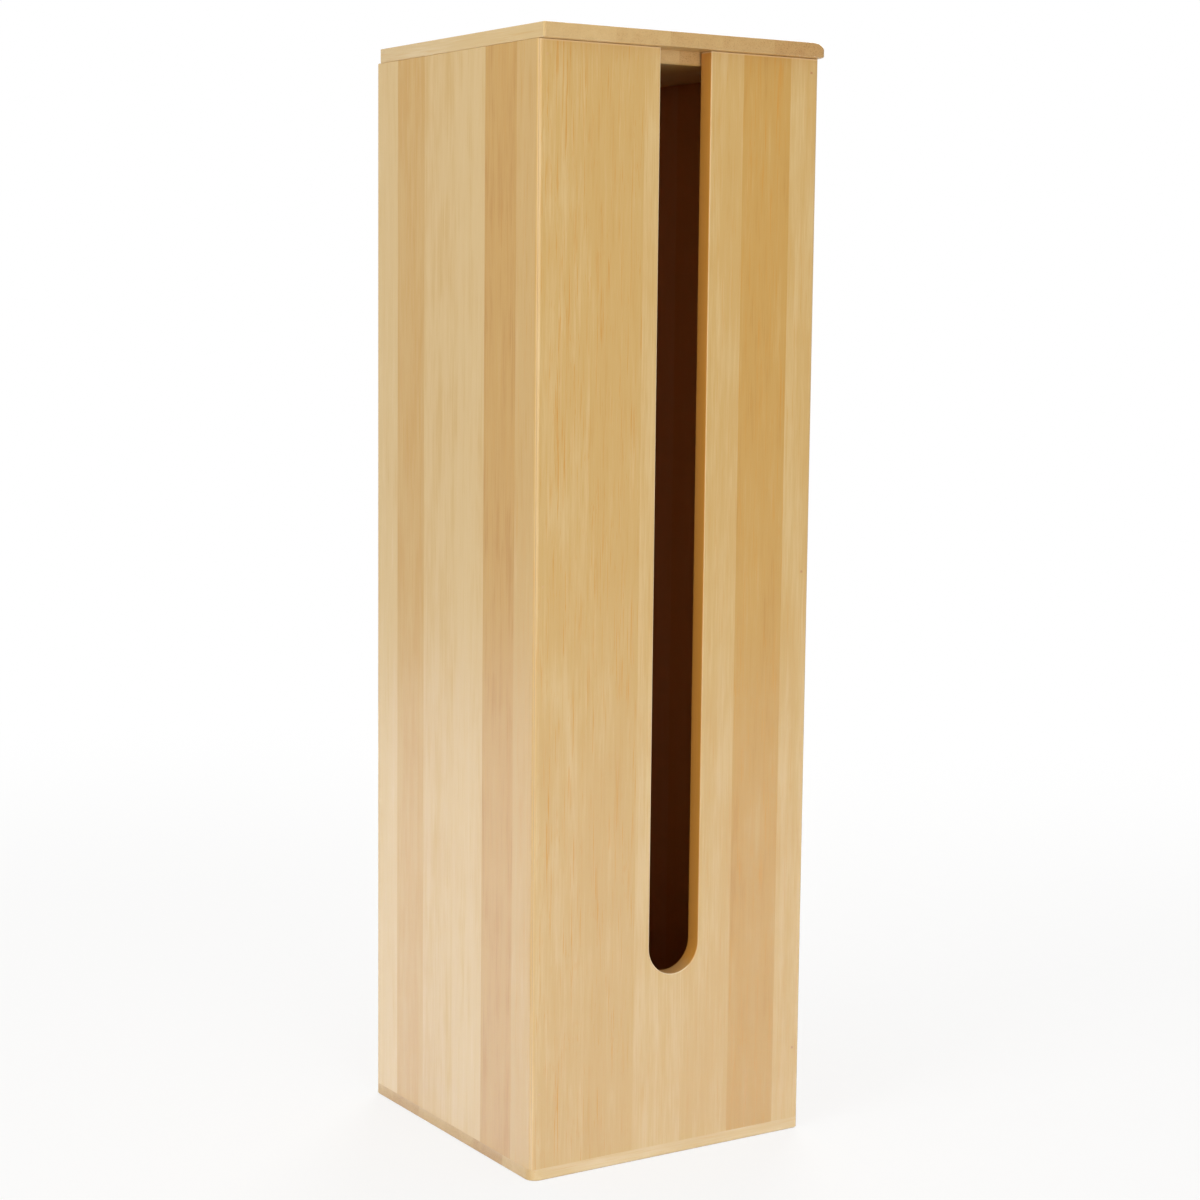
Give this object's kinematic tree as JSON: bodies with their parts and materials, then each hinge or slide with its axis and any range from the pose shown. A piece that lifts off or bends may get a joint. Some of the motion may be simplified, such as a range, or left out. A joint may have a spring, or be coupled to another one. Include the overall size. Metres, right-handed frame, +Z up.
{
  "type": "toilet paper storage box",
  "caption": "Tall square bamboo box for spare toilet rolls, with a long round-ended slot in the front and a lid that lifts off.",
  "frame": {"origin": "middle of the base's underside, under the middle of the box", "axes": "+Z up, -Y out of the slotted front, +X to the right seen from the front"},
  "size_m": [0.161, 0.1645, 0.547],
  "materials": {
    "bamboo": "edge-glued bamboo strips, clear satin lacquer",
    "pin_steel": "dull steel, darkened by the lacquer"
  },
  "bodies": {
    "box": {"base_panel": "bamboo", "front_panel": "bamboo", "right_panel": "bamboo", "back_panel": "bamboo", "left_panel": "bamboo", "front_corner_pins": "pin_steel", "back_corner_pins": "pin_steel", "base_pins": "pin_steel"},
    "lid": {"lid_panel": "bamboo", "lid_locating_board": "bamboo", "locating_board_pins": "pin_steel"}
  },
  "joints": [
    {"name": "lid_lift", "type": "slide", "parent": "box", "child": "lid", "axis": [0, 0, 1], "range_m": [0, 0.16]}
  ]
}
